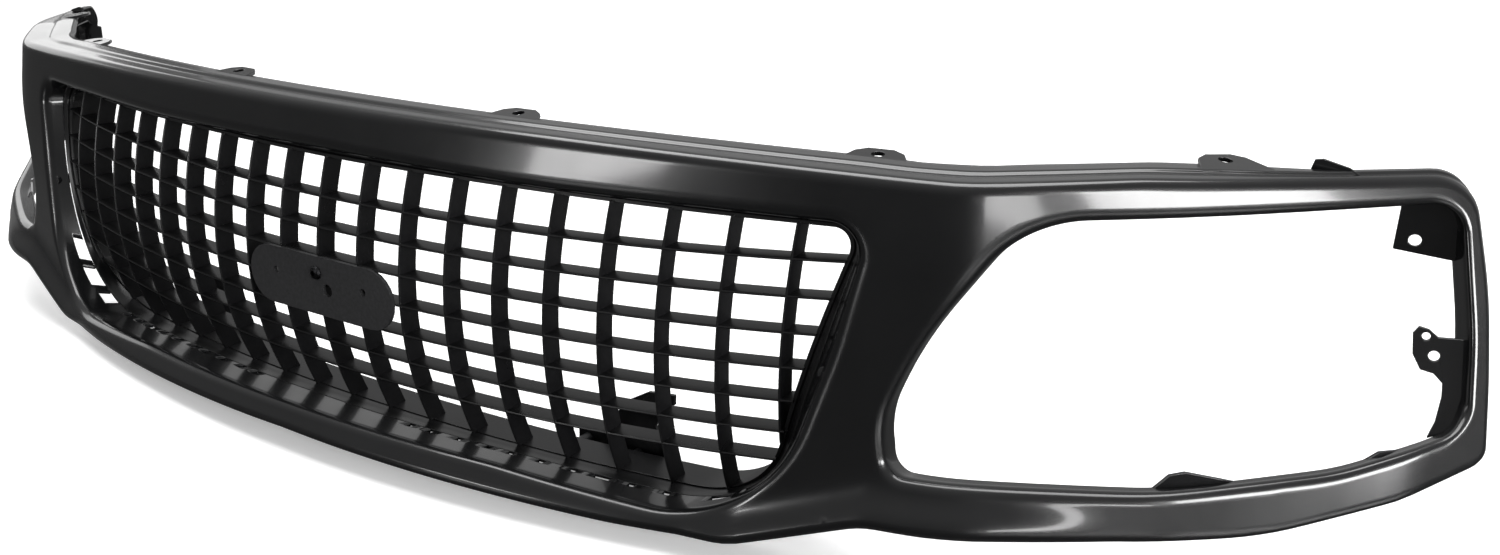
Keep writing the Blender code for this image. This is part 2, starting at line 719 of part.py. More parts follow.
def collar_ring():
    """The stepped collar that spreads from the frame's edge to the shell's wall."""
    back = funnel(1)
    edge = towards(funnel(WALL_SHARE), back, SEAM)
    middle = (edge + back) / 2
    skin = funnel_normal() * COLLAR_THICKNESS
    away = outward(frame_loop())
    root = back - lifted(away, np.zeros(len(away))) * 1.5
    drop = np.array([0, COLLAR_STEP, 0])
    rows = []
    for row in (edge, middle, middle + drop, root + drop, root + drop + skin,
                middle + drop + skin, edge + skin):
        left = row[::-1] * np.array([-1.0, 1.0, 1.0])
        rows.append(np.concatenate([row, left[1:-1]]))
    bm = bmesh.new()
    add_grid(bm, rows + rows[:1], closed=True)
    bmesh.ops.remove_doubles(bm, verts=bm.verts[:], dist=2e-5)
    bmesh.ops.recalc_face_normals(bm, faces=bm.faces[:])
    return bm


def insert_additions():
    """Ears at the screws, bosses for the brackets and the boss behind the emblem seat."""
    bm = bmesh.new()
    for x, z in bracket_places():
        merge(bm, rod((x, z), BOSS_RADIUS, BRACKET_BOSS_FRONT, BRACKET_DEPTH, 12))
    for boss, out, inner, y, front in ear_places():
        across = np.array([-out[1], out[0]])
        tip = boss + out * EAR_REACH
        outline = [inner - across * EAR_HALF, inner + across * EAR_HALF,
                   boss + across * EAR_HALF, tip + across * 6, tip - across * 6,
                   boss - across * EAR_HALF]
        merge(bm, prism(outline, y + GAP, y + GAP + EAR_THICKNESS))
    merge(bm, rod(SEAT_SCREW, 5.2, SEAT_THICKNESS + GAP, FIN_DEPTH))
    return bm


def insert_cuts():
    bm = bmesh.new()
    for boss, out, inner, y, front in ear_places():
        merge(bm, rod(boss, 2.0 + GAP, y - 3, y + 8, 10))
    for spot in bracket_places():
        merge(bm, rod(spot, 2.0 + GAP, BRACKET_DEPTH - 14, BRACKET_DEPTH + 5, 10))
    merge(bm, rod(SEAT_SCREW, 1.6 + GAP, 0, FIN_DEPTH + 4, 12))
    return bm


def stadium(length, height, steps=12):
    """Outline of a plate with half-round ends, clockwise."""
    reach = length / 2 - height / 2
    points = []
    for centre, start in ((reach, 90), (-reach, 270)):
        for k in range(steps + 1):
            a = math.radians(start - 180 * k / steps)
            points.append((centre + height / 2 * math.cos(a), height / 2 * math.sin(a)))
    return points


def build_insert():
    insert = mesh_object("grille_insert", fin_lattice(), grille, satin_black, smooth=False)
    inside = both_halves(frame_half(FRAME_WALL - 1.2))
    boolean(insert, cutter("insert_outline", prism(inside.tolist(), -60, 200)), "INTERSECT")
    boolean(insert, cutter("insert_frame", frame_ring()), "UNION")
    boolean(insert, cutter("insert_collar", collar_ring()), "UNION")
    pocket = stadium(SEAT_LENGTH + 2 * GAP, SEAT_HEIGHT + 2 * GAP)
    boolean(insert, cutter("seat_pocket", prism(pocket, -20, SEAT_THICKNESS + GAP)),
            "DIFFERENCE")
    boolean(insert, cutter("insert_ears", insert_additions()), "UNION")
    boolean(insert, cutter("insert_holes", insert_cuts()), "DIFFERENCE")
    return insert


def build_seat():
    seat = mesh_object("emblem_plate", prism(stadium(SEAT_LENGTH, SEAT_HEIGHT), 0,
                                             SEAT_THICKNESS), grille, satin_black, smooth=False)
    bm = bmesh.new()
    for spot in PIN_HOLES:
        merge(bm, rod(spot, PIN_HOLE_RADIUS, -5, 9))
    merge(bm, rod(CENTRE_HOLE, CENTRE_HOLE_RADIUS, -5, 9))
    merge(bm, rod(SEAT_SCREW, 1.6 + GAP, -5, 9, 12))
    boolean(seat, cutter("seat_holes", bm), "DIFFERENCE")


# ---------------------------------------------------------------- screws
def turned(name, profile, steps, turn, look):
    """Solid of revolution from (radius, height) points, its top turned by an angle about X."""
    bm = bmesh.new()
    verts = [bm.verts.new(Vector((radius, 0, height)) * MM) for radius, height in profile]
    for upper, lower in zip(verts, verts[1:]):
        bm.edges.new((upper, lower))
    obj = mesh_object(name, bm, grille, look)
    lathe = obj.modifiers.new("lathe", "SCREW")
    lathe.steps = lathe.render_steps = steps
    lathe.use_merge_vertices = True
    lathe.merge_threshold = 0.0001
    obj.rotation_euler = (turn, 0, 0)
    return obj


def star_recess():
    """Six-lobed drive recess in the head of the seat screw."""
    points = []
    for k in range(24):
        a = 2 * math.pi * k / 24
        r = 2.3 * (1 + 0.16 * math.cos(6 * a))
        points.append((r * math.cos(a), r * math.sin(a)))
    return prism(points, -5, -1.6)


def build_seat_screw():
    profile = [(0, 3.6), (2.6, 3.4), (4.8, 2.4), (5.8, 0.9), (5.8, GAP), (1.6, GAP),
               (1.6, -13), (0, -14)]
    screw = turned("emblem_plate_screw", profile, 24, math.pi / 2, screw_black)
    screw.location = Vector((SEAT_SCREW[0], 0, SEAT_SCREW[1])) * MM
    recess = cutter("star_recess", star_recess())
    recess.location = screw.location
    boolean(screw, recess, "DIFFERENCE")


def add_screw(name, x, y, z):
    """Pan-head screw from behind: underside of the head at y, cross recess."""
    profile = [(0, 3.3), (3.5, 2.7), (4.6, 1.2), (4.6, 0), (2.0, 0), (2.0, -12), (0, -13.5)]
    screw = turned(name, profile, 12, -math.pi / 2, steel)
    screw.location = Vector((x, y, z)) * MM
    recess = cutter("recess_of_" + name, cross_recess())
    recess.location = screw.location
    boolean(screw, recess, "DIFFERENCE")


def build_insert_screws():
    """One screw per ear, its head behind the ear and its shank in the shell's boss."""
    for number, (boss, out, inner, y, front) in enumerate(ear_places(), 1):
        add_screw(f"insert_screw_{number:02d}", boss[0], y + EAR_THICKNESS + 2 * GAP, boss[1])


def build_lower_brackets():
    """Hooked plates behind the lower rail, each held by two screws."""
    for side, name in ((-1, "left"), (1, "right")):
        outline = [(side * x, z) for x, z in BRACKET_OUTLINE]
        front = BRACKET_DEPTH + GAP
        plate = mesh_object(f"lower_bracket_{name}", prism(outline, front, front + 3), grille,
                            satin_black, smooth=False)
        bm = bmesh.new()
        for x, z in bracket_places():
            if x * side > 0:
                merge(bm, rod((x, z), 2.0 + GAP, front - 5, front + 8, 12))
        boolean(plate, cutter(f"bracket_holes_{name}", bm), "DIFFERENCE")
    for number, (x, z) in enumerate(bracket_places(), 1):
        add_screw(f"bracket_screw_{number:02d}", x, BRACKET_DEPTH + 3 + 2 * GAP, z)


def cross_recess():
    bm = bmesh.new()
    arm, half = 2.3, 0.55
    outline = [(-arm, -half), (-half, -half), (-half, -arm), (half, -arm), (half, -half),
               (arm, -half), (arm, half), (half, half), (half, arm), (-half, arm),
               (-half, half), (-arm, half)]
    merge(bm, prism(outline, 1.9, 6))
    return bm


build_shell()
build_insert()
build_seat()
build_seat_screw()
build_insert_screws()
build_lower_brackets()
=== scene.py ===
"""Looks of the front grille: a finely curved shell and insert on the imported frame, and a studio.

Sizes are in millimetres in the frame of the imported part: the emblem seat's front face is the
origin, +X to the viewer's right, +Z up, the front looks along -Y.
"""
import math

import bmesh
import bpy
import numpy as np
from mathutils import Matrix, Vector


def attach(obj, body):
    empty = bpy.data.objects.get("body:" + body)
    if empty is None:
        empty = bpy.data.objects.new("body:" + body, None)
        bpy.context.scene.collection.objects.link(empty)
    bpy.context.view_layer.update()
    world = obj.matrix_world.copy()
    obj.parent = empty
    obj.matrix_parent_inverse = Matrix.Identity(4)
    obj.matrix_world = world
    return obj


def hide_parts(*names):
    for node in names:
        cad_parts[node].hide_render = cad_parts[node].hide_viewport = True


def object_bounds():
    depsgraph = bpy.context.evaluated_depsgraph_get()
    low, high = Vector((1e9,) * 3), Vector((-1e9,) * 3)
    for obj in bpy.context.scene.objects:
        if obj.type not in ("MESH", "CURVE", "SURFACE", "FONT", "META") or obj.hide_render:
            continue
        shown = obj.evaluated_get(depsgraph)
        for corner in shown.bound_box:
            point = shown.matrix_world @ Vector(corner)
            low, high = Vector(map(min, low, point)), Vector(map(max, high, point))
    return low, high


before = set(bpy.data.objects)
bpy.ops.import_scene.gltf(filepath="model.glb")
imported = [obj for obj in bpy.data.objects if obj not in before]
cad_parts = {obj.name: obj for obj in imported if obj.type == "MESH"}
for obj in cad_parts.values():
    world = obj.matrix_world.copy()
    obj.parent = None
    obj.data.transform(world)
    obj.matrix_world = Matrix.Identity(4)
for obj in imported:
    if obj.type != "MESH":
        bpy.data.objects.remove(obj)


def corners_of(box):
    return [list(corner) for corner in box]


CAD_BOX = corners_of(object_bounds())
MM = 0.001

# ---------------------------------------------------------------- sizes
SHELL_WALL = 2.6
RIM_RADIUS = 8.0               # rolled front edge of the central opening
LAMP_RIM_RADIUS = 8.0          # rolled front edge of the headlamp openings
EDGE_RADIUS = 7.0              # rolled outer edge of the shell
WALL_SHARE = 0.58              # share of the funnel round the insert that the shell covers
SEAM = 0.8                     # open seam between the shell's wall and the insert's collar
LAMP_WALL = 22.0
LAMP_TUCK = 9.0
LAMP_DROP = 6.0
RETURN_DEPTH = 22.0
END_TUCK = 5.0
END_SHARPNESS = 0.6
STEP_HEIGHT = 2.0
CREASE_HEIGHT = 148.0
TOE = 9.0

CENTRE_OPENING = [(0, 114), (220, 111.5), (455, 116.5), (441, 30), (405, -99), (200, -88.5),
                  (0, -87.5)]
CENTRE_RADII = [0, 1500, 22, 250, 100, 500, 0]
CENTRE_SPLITS = [(448, 110), (390, -73)]
LAMP_OPENING = [(640, 129.5), (779, 134), (798, 50), (805, -5), (736, -26), (640, -37),
                (484, -41), (476, -8), (492, 42), (543, 125)]
LAMP_RADII = [0, 24, 300, 18, 150, 400, 15, 60, 250, 62]
LAMP_SPLITS = [(774, 126), (800, 1), (487, -37), (547, 118)]
OUTER_EDGE = [(0, 148), (505, 148), (600, 153), (783, 151.5), (805, 75), (814, 20), (820, -27),
              (772, -46), (700, -65), (560, -73), (474, -77), (385, -110), (300, -111.5),
              (0, -106.5)]
OUTER_RADII = [0, 200, 200, 36, 400, 500, 12, 100, 200, 400, 70, 70, 400, 0]
OUTER_SPLITS = [(512, 148.5), (776, 144), (816, -26), (455, -86)]
PILLAR_MIDDLE = [(468, 60), (450, -20)]
FRAME_OUTLINE = [(0, 106), (443, 109), (417, 10), (386, -108), (0, -108)]
FRAME_RADII = [0, 16, 250, 76, 0]
FRAME_SPLITS = [(437, 104), (374, -92)]
FRAME_SETBACK = 3.0

TOP_COLUMNS, SIDE_COLUMNS, BOTTOM_COLUMNS = 60, 40, 60
LAMP_TOP_COLUMNS, END_COLUMNS, LAMP_BOTTOM_COLUMNS = 50, 40, 50
FACE_ROWS = 12
ROLL_ROWS = 6

# insert
BAR_PITCH = 44.45
ROW_PITCH = 24.5
BARS_PER_SIDE = 9
SLATS_PER_SIDE = 3
SLAT_CROWN = 6.3e-5            # rise of the slats towards the sides, per mm squared
FIN_THICKNESS = 2.2
FIN_DEPTH = 17.0
FRAME_WALL = 3.0
FRAME_LIP = 4.0
FRAME_DEPTH = 34.0
COLLAR_THICKNESS = 2.2
COLLAR_STEP = 2.0
SEAT_LENGTH, SEAT_HEIGHT, SEAT_THICKNESS = 166.0, 50.0, 3.0
GAP = 0.3

# slots in the wall at the lower corners and along the floor of the central opening
CORNER_SLOTS = [((427, -34), (418, -60), 0.27), ((411, -68), (391, -83), 0.27),
                ((383, -87), (358, -93), 0.32)]
DRAIN_SLOTS = range(331, 90, -26)
DRAIN_WIDTH = 8.0
DRAIN_SHARE = 0.44

# fixings
LEDGE_TABS = [160.8, 436.4, 638.5]
TAB_OUTLINE = [(-26, -18), (26, -18), (17, 4), (9, 10), (-9, 10), (-17, 4)]
TAB_THICKNESS = 3.2
TAB_HOLE_RADIUS = 4.5
TAB_TILT = Matrix.Rotation(math.radians(10), 4, "X")
LEDGE_FIN = [(-20, -4), (-17, 8), (-12, 9), (4, 5), (20, -4)]
LEDGE_FIN_PLACE = (706, 232, 151.0)
BOSS_RADIUS = 5.0
EAR_THICKNESS = 3.0
EAR_HALF = 12.0
EAR_MARKS = [(150, 110), (300, 110), (425, 15), (290, -112), (150, -112), (0, -112)]
EAR_DEPTH = 14.0
EAR_REACH = 8.0
BOSS_OVERLAP = 9.0
BRACKET_BOSSES = [208, 258]
BRACKET_BOSS_HEIGHT = -112.0
BRACKET_BOSS_FRONT = 60.0
BRACKET_DEPTH = 82.0
SEAT_SCREW = (-1.8, 11.2)
UPPER_LAMP_TAB = [(744, 95), (776, 93), (784, 93), (782, 122), (774, 131), (744, 128)]
LOWER_LAMP_TAB = [(765, 44), (768, 49), (774, 48), (780, 44), (797, 46), (800, 8), (799, -12),
                  (784, -20), (787, -9), (788, 7), (787, 16), (781, 21), (773, 22), (767, 31)]
LOWER_TAB_LEAN = 0.33
UPPER_TAB_DEPTH = 283.0
LOWER_TAB_DEPTH = 262.0
UPPER_TAB_HOLES = [(756, 103, 4.0)]
LOWER_TAB_HOLES = [(773, 43.5, 2.6), (779.5, 32, 3.4)]
RAIL_TABS = [(660, 130, -45, [(-34, -2), (-20, 12), (-10, 14), (30, 6), (34, -2)]),
             (764, 208, -27, [(-24, -4), (-8, 6), (8, 7), (20, 4), (22, -4)])]


# ---------------------------------------------------------------- the front surface
def soft_ramp(x, width):
    """Zero well below x = 0, equal to x well above it, with a smooth turn between."""
    return width * np.logaddexp(0.0, x / width)


def upper_plan(x):
    """Depth of the top crease: a shallow crown, then two steps of sweep to the corner."""
    x = np.abs(x)
    return 12 + 2.0e-4 * x**2 + 0.45 * soft_ramp(x - 512, 10) + 0.20 * soft_ramp(x - 640, 12)


def lean(x):
    """How far the face comes forward for each millimetre down from the crease."""
    x = np.abs(x)
    middle = 0.078 * np.clip(1 - (x / 350)**2, 0, 1)
    return np.minimum(0.13 + middle + 0.0012 * soft_ramp(x - 500, 15), 0.46)


def toe(x, z):
    """The lip that the bottom edge pushes forward, out to the headlamp."""
    x = np.abs(x)
    above = z - np.interp(x, [385, 475, 560], [-108, -72, -67])
    return np.interp(x, [540, 620], [TOE, 0]) * np.exp(-(above / 16)**2)


def face_depth(x, z):
    """Y of the outer face of the shell."""
    return upper_plan(x) - lean(x) * (CREASE_HEIGHT - z) - toe(x, z)


def insert_depth(x, z):
    """Y of the front edges of the fins."""
    up = z - 7.3
    return 2.25e-4 * x**2 + 2.6e-10 * x**4 + 1.786e-3 * up**2 - 8.6e-7 * up**3


def ledge_depth(x):
    """How far the top ledge runs back behind the crease."""
    return np.interp(np.abs(x), [160, 436, 470, 530, 590, 640, 700], [42, 48, 44, 56, 52, 45, 20])


# ---------------------------------------------------------------- outlines
def rounded_path(corners, radii, arc_step=2):
    """Polyline through the corners with each corner rounded to its radius."""
    points = [np.array(corners[0], float)]
    for before, corner, after, radius in zip(corners, corners[1:], corners[2:], radii[1:]):
        before, corner, after = (np.array(p, float) for p in (before, corner, after))
        into = (corner - before) / np.linalg.norm(corner - before)
        out = (after - corner) / np.linalg.norm(after - corner)
        turn = math.acos(max(-1.0, min(1.0, float(into @ out))))
        tangent = radius * math.tan(turn / 2)
        side = math.copysign(1.0, into[0] * out[1] - into[1] * out[0])
        start = corner - into * tangent
        centre = start + side * radius * np.array([-into[1], into[0]])
        steps = max(2, math.ceil(math.degrees(turn) / arc_step))
        for k in range(steps + 1):
            a = side * turn * k / steps
            spin = np.array([[math.cos(a), -math.sin(a)], [math.sin(a), math.cos(a)]])
            points.append(centre + spin @ (start - centre))
    points.append(np.array(corners[-1], float))
    return np.array(points)


def resample(path, count, corner_weight=40.0):
    """Even spacing along the path, closer together where the path turns."""
    step = np.diff(path, axis=0)
    length = np.linalg.norm(step, axis=1)
    heading = np.unwrap(np.arctan2(step[:, 1], step[:, 0]))
    turn = np.zeros(len(path))
    turn[1:-1] = np.abs(np.diff(heading))
    weight = length + corner_weight * 0.5 * (turn[:-1] + turn[1:])
    along = np.concatenate([[0], np.cumsum(weight)])
    wanted = np.linspace(0, along[-1], count + 1)
    return np.stack([np.interp(wanted, along, path[:, k]) for k in (0, 1)], axis=1)


def split_path(path, marks):
    """Cut a polyline at the points nearest to the marks."""
    dense = resample(path, 4000, corner_weight=0)
    cuts = [int(np.argmin(np.linalg.norm(dense - np.array(m, float), axis=1))) for m in marks]
    edges = [0] + cuts + [len(dense) - 1]
    return [dense[a:b + 1] for a, b in zip(edges, edges[1:])]


def alongside(path, inner, spread=0.3):
    """Points of a path at the x of an inner stretch, drawn to the path's ends at the ends."""
    t = np.linspace(0, 1, len(inner))
    first = (path[0, 0] - inner[0, 0]) * np.clip(1 - t / spread, 0, 1)**2
    last = (path[-1, 0] - inner[-1, 0]) * np.clip(1 - (1 - t) / spread, 0, 1)**2
    x = inner[:, 0] + first + last
    order = np.argsort(path[:, 0])
    return np.stack([x, np.interp(x, path[order, 0], path[order, 1])], axis=1)


def outward(loop, closed=False):
    """Unit normals on the left of a clockwise path, that is away from its middle."""
    if closed:
        tangent = np.roll(loop, -1, axis=0) - np.roll(loop, 1, axis=0)
    else:
        tangent = np.gradient(loop, axis=0)
        tangent[0, 1] = 0.0 if abs(loop[0, 0]) < 1e-6 else tangent[0, 1]
        tangent[-1, 1] = 0.0 if abs(loop[-1, 0]) < 1e-6 else tangent[-1, 1]
    tangent /= np.linalg.norm(tangent, axis=1, keepdims=True)
    return np.stack([-tangent[:, 1], tangent[:, 0]], axis=1)


def join(stretches):
    """One polyline from stretches that share their end points."""
    return np.concatenate([stretches[0]] + [s[1:] for s in stretches[1:]])


def divided(corners, radii, splits):
    """Top, side and bottom of the right half of an outline, each divided into columns."""
    stretches = split_path(rounded_path(corners, radii), splits)
    counts = (TOP_COLUMNS, SIDE_COLUMNS, BOTTOM_COLUMNS)
    return [resample(part, n) for part, n in zip(stretches, counts)]


# ---------------------------------------------------------------- rows of points
def lifted(outline, depth):
    """(x, y, z) points from an (x, z) outline and the depth of each point."""
    return np.stack([outline[:, 0], depth, outline[:, 1]], axis=1)


def on_face(outline):
    return lifted(outline, face_depth(outline[:, 0], outline[:, 1]))


def towards(start, end, distance):
    """Points the given distance along the lines from start to end."""
    along = end - start
    return start + along * (distance / np.linalg.norm(along, axis=1))[:, None]


def roll(before, corner, after):
    """Rows that round a corner line between two lines beside it."""
    rows = []
    for k in range(ROLL_ROWS + 1):
        t = k / ROLL_ROWS
        rows.append((1 - t)**2 * before + 2 * t * (1 - t) * corner + t**2 * after)
    return rows


def between(start, end, count):
    """Rows between two lines, both ends left out."""
    return [start + (end - start) * k / count for k in range(1, count)]


def end_radius(radius, normal, outline):
    """Edge radius for each point, smaller where the shell is thin at its outer ends."""
    end = np.clip(normal[:, 0], 0, 1) * (outline[:, 0] > 700)
    return radius * (1 - END_SHARPNESS * end)[:, None]


def face_rows(inner, outer):
    """Rows across the face between the rim of an opening and the outer loop."""
    return [on_face(inner + (outer - inner) * k / FACE_ROWS) for k in range(1, FACE_ROWS + 1)]


def funnel(rim, frame_edge, share):
    """Points part of the way from the rim of the central opening to the insert's frame."""
    front = lifted(rim, face_depth(rim[:, 0], rim[:, 1]) + RIM_RADIUS)
    back = lifted(frame_edge, insert_depth(frame_edge[:, 0], frame_edge[:, 1]) + FRAME_SETBACK)
    return front + (back - front) * share


def funnel_normal(rim, frame_edge):
    """Unit normals of the funnel on its hidden side."""
    away = outward(frame_edge)
    run = funnel(rim, frame_edge, 1) - funnel(rim, frame_edge, 0)
    spread = run[:, 0] * away[:, 0] + run[:, 2] * away[:, 1]
    normal = np.stack([away[:, 0] * run[:, 1], -spread, away[:, 1] * run[:, 1]], axis=1)
    return normal / np.hypot(spread, run[:, 1])[:, None]


# ---------------------------------------------------------------- mesh helpers
def add_grid(bm, rows, closed=False, open_at=None):
    """Quads between rows of (x, y, z) points; open_at(row, column) leaves a quad out."""
    made = [[bm.verts.new(Vector(p) * MM) for p in row] for row in rows]
    for r, (lower, upper) in enumerate(zip(made, made[1:])):
        count = len(lower)
        for k in range(count if closed else count - 1):
            if open_at is None or not open_at(r, k):
                n = (k + 1) % count
                bm.faces.new((lower[k], lower[n], upper[n], upper[k]))


def piece(name, bm, look, smooth_angle=40.0):
    """A visible piece that rides on the one body of the part."""
    bmesh.ops.remove_doubles(bm, verts=bm.verts[:], dist=2e-5)
    mesh = bpy.data.meshes.new(name)
    bm.to_mesh(mesh)
    bm.free()
    mesh.shade_smooth()
    mesh.set_sharp_from_angle(angle=math.radians(smooth_angle))
    mesh.materials.append(look)
    obj = bpy.data.objects.new(name, mesh)
    bpy.context.scene.collection.objects.link(obj)
    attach(obj, "root")
    return obj


def mirror_copy(bm):
    """Adds the same faces on the other side of the middle."""
    made = bmesh.ops.duplicate(bm, geom=bm.verts[:] + bm.edges[:] + bm.faces[:])["geom"]
    bmesh.ops.scale(bm, vec=(-1, 1, 1), verts=[v for v in made if isinstance(v, bmesh.types.BMVert)])
    bmesh.ops.reverse_faces(bm, faces=[f for f in made if isinstance(f, bmesh.types.BMFace)])


def solidify(obj, thickness):
    skin = obj.modifiers.new("wall", "SOLIDIFY")
    skin.thickness = thickness * MM
    skin.offset = -1.0


def soften(obj, width, segments=2, angle=40.0):
    """Small rounded edges."""
    edge = obj.modifiers.new("rounded_edges", "BEVEL")
    edge.width = width * MM
    edge.segments = segments
    edge.limit_method = "ANGLE"
    edge.angle_limit = math.radians(angle)
    edge.harden_normals = True


def circle(centre, radius, count=32):
    return [(centre[0] + radius * math.cos(2 * math.pi * k / count),
             centre[1] + radius * math.sin(2 * math.pi * k / count)) for k in range(count)]


def plate(outline, holes, thickness, place):
    """Flat plate with holes: a filled outline in (x, z) made solid, then put in place."""
    bm = bmesh.new()
    edges = []
    for ring in [outline] + holes:
        verts = [bm.verts.new((x * MM, 0, z * MM)) for x, z in ring]
        edges += [bm.edges.new((a, b)) for a, b in zip(verts, verts[1:] + verts[:1])]
    faces = bmesh.ops.triangle_fill(bm, edges=edges, use_beauty=True)["geom"]
    faces = [f for f in faces if isinstance(f, bmesh.types.BMFace)]
    pushed = bmesh.ops.extrude_face_region(bm, geom=faces, use_keep_orig=True)["geom"]
    back = [v for v in pushed if isinstance(v, bmesh.types.BMVert)]
    bmesh.ops.translate(bm, vec=(0, thickness * MM, 0), verts=back)
    bmesh.ops.recalc_face_normals(bm, faces=bm.faces[:])
    bmesh.ops.transform(bm, matrix=place, verts=bm.verts[:])
    return bm


def rod(centre, radius, front, back, count=32):
    """Cylinder along Y about an (x, z) centre."""
    bm = bmesh.new()
    middle = Vector((centre[0], (front + back) / 2, centre[1])) * MM
    matrix = Matrix.Translation(middle) @ Matrix.Rotation(math.pi / 2, 4, "X")
    bmesh.ops.create_cone(bm, cap_ends=True, segments=count, radius1=radius * MM,
                          radius2=radius * MM, depth=(back - front) * MM, matrix=matrix)
    return bm


def merge(target, extra):
    """Move the faces of one bmesh into another."""
    part = bpy.data.meshes.new("part")
    extra.to_mesh(part)
    extra.free()
    target.from_mesh(part)
    bpy.data.meshes.remove(part)


def move(x, y, z):
    return Matrix.Translation(Vector((x, y, z)) * MM)


# ---------------------------------------------------------------- studio values
FLOOR_IN_REFLECTIONS = 0.04    # grey of the floor as the part's gloss sees it
FLOOR_GLOW = 0.35              # light added to the near floor for the camera
BACKDROP_GLOW = 0.38           # light of the far floor and backdrop, as the part sees it
DOME_LOW, DOME_HIGH = 0.10, 0.5
# name, place, point aimed at, width and height in metres, power in watts
SOFTBOXES = [
    ("overhead_softbox", (0.0, 0.3, 2.4), (0, 0.1, 0), (3.2, 1.6), 90),
    ("right_panel", (2.9, -0.7, 0.56), (0.64, 0.13, 0.14), (1.4, 0.42), 42),
    ("right_front_panel", (2.34, -1.78, 0.27), (0.53, 0.09, 0.14), (0.65, 0.2), 6),
    ("front_panel", (-0.95, -2.7, 0.35), (0.27, 0, 0.13), (0.7, 0.25), 9),
    ("left_panel", (-2.2, 0.4, 0.6), (-0.7, 0.2, 0), (1.4, 0.6), 4)]


# ---------------------------------------------------------------- materials
class Nodes:
    """A material's node tree with short names for what the materials below share."""

    def __init__(self, name):
        self.material = bpy.data.materials.new(name)
        self.material.use_nodes = True
        self.tree = self.material.node_tree
        self.shader = self.tree.nodes["Principled BSDF"]
        self.place = self.add("ShaderNodeTexCoord").outputs["Object"]

    def add(self, kind, **settings):
        node = self.tree.nodes.new(kind)
        for key, value in settings.items():
            if key in node.inputs:
                node.inputs[key].default_value = value
            else:
                setattr(node, key.lower(), value)
        return node

    def link(self, output, target):
        self.tree.links.new(output, target)

    def noise(self, scale, detail=3.0, roughness=0.5):
        """Noise with this many waves to the metre."""
        node = self.add("ShaderNodeTexNoise", Scale=scale, Detail=detail, Roughness=roughness)
        self.link(self.place, node.inputs["Vector"])
        return node.outputs["Fac"]

    def spread(self, value, low, high, start=0.3, end=0.7):
        """Maps a 0 to 1 pattern to a range."""
        node = self.add("ShaderNodeMapRange")
        for key, number in (("From Min", start), ("From Max", end), ("To Min", low), ("To Max", high)):
            node.inputs[key].default_value = number
        self.link(value, node.inputs["Value"])
        return node.outputs["Result"]

    def mix(self, share, first, second):
        """Blend of two colours by a share, each a colour or another output."""
        node = self.add("ShaderNodeMix", data_type="RGBA")
        self.link(share, node.inputs["Factor"])
        for key, colour in (("A", first), ("B", second)):
            target = [s for s in node.inputs if s.name == key and s.type == "RGBA"][0]
            if isinstance(colour, tuple):
                target.default_value = (*colour, 1.0)
            else:
                self.link(colour, target)
        return [s for s in node.outputs if s.type == "RGBA"][0]

    def bump(self, height, distance, strength=1.0, below=None):
        node = self.add("ShaderNodeBump", Distance=distance, Strength=strength)
        self.link(height, node.inputs["Height"])
        if below:
            self.link(below, node.inputs["Normal"])
        return node.outputs["Normal"]

    def edges(self, low=0.52, high=0.60):
        """1 on convex edges, 0 on flats."""
        return self.spread(self.add("ShaderNodeNewGeometry").outputs["Pointiness"], 0, 1, low, high)

    def upward(self):
        """1 where the surface looks up, 0 where it is upright or looks down."""
        normal = self.add("ShaderNodeSeparateXYZ")
        self.link(self.add("ShaderNodeNewGeometry").outputs["Normal"], normal.inputs[0])
        return self.spread(normal.outputs["Z"], 0, 1, 0.3, 1.0)


def times(nodes, first, second):
    node = nodes.add("ShaderNodeMath", operation="MULTIPLY")
    for target, value in zip(node.inputs, (first, second)):
        if isinstance(value, (int, float)):
            target.default_value = value
        else:
            nodes.link(value, target)
    return node.outputs[0]


def gloss_black():
    """Moulded black plastic of the shell: smooth, with faint flow marks and rubbed edges."""
    n = Nodes("gloss_black_plastic")
    cloud = n.noise(7, 4)
    colour = n.mix(n.spread(cloud, 0, 1), (0.0040, 0.0041, 0.0045), (0.0065, 0.0067, 0.0072))
    scuffs = times(n, n.edges(), n.spread(n.noise(160, 5, 0.7), 0.0, 0.5))
    colour = n.mix(scuffs, colour, (0.035, 0.036, 0.038))
    dust = times(n, n.upward(), n.spread(n.noise(420, 6, 0.75), 0.0, 0.04, 0.5, 0.8))
    colour = n.mix(dust, colour, (0.06, 0.06, 0.06))
    n.link(colour, n.shader.inputs["Base Color"])
    n.link(n.spread(n.noise(14, 6, 0.6), 0.20, 0.27), n.shader.inputs["Roughness"])
    n.shader.inputs["Coat Weight"].default_value = 0.5
    n.shader.inputs["Coat Roughness"].default_value = 0.08
    ripple = n.bump(n.noise(38, 2), 0.0004, 0.04)
    n.link(n.bump(n.noise(1400, 2), 0.00004, 0.25, ripple), n.shader.inputs["Normal"])
    return n.material


def satin_black(name, base, roughness, grain):
    """Duller moulded plastic of the insert, the seat plate and the brackets."""
    n = Nodes(name)
    dark = tuple(0.75 * c for c in base)
    colour = n.mix(n.spread(n.noise(11, 4), 0, 1), dark, base)
    worn = times(n, n.edges(0.51, 0.58), n.spread(n.noise(300, 5, 0.7), 0.1, 0.7))
    colour = n.mix(worn, colour, tuple(3.0 * c for c in base))
    n.link(colour, n.shader.inputs["Base Color"])
    n.link(n.spread(n.noise(24, 5), roughness - 0.04, roughness + 0.06),
           n.shader.inputs["Roughness"])
    n.link(n.bump(n.noise(grain, 3, 0.6), 0.00006, 0.35), n.shader.inputs["Normal"])
    return n.material


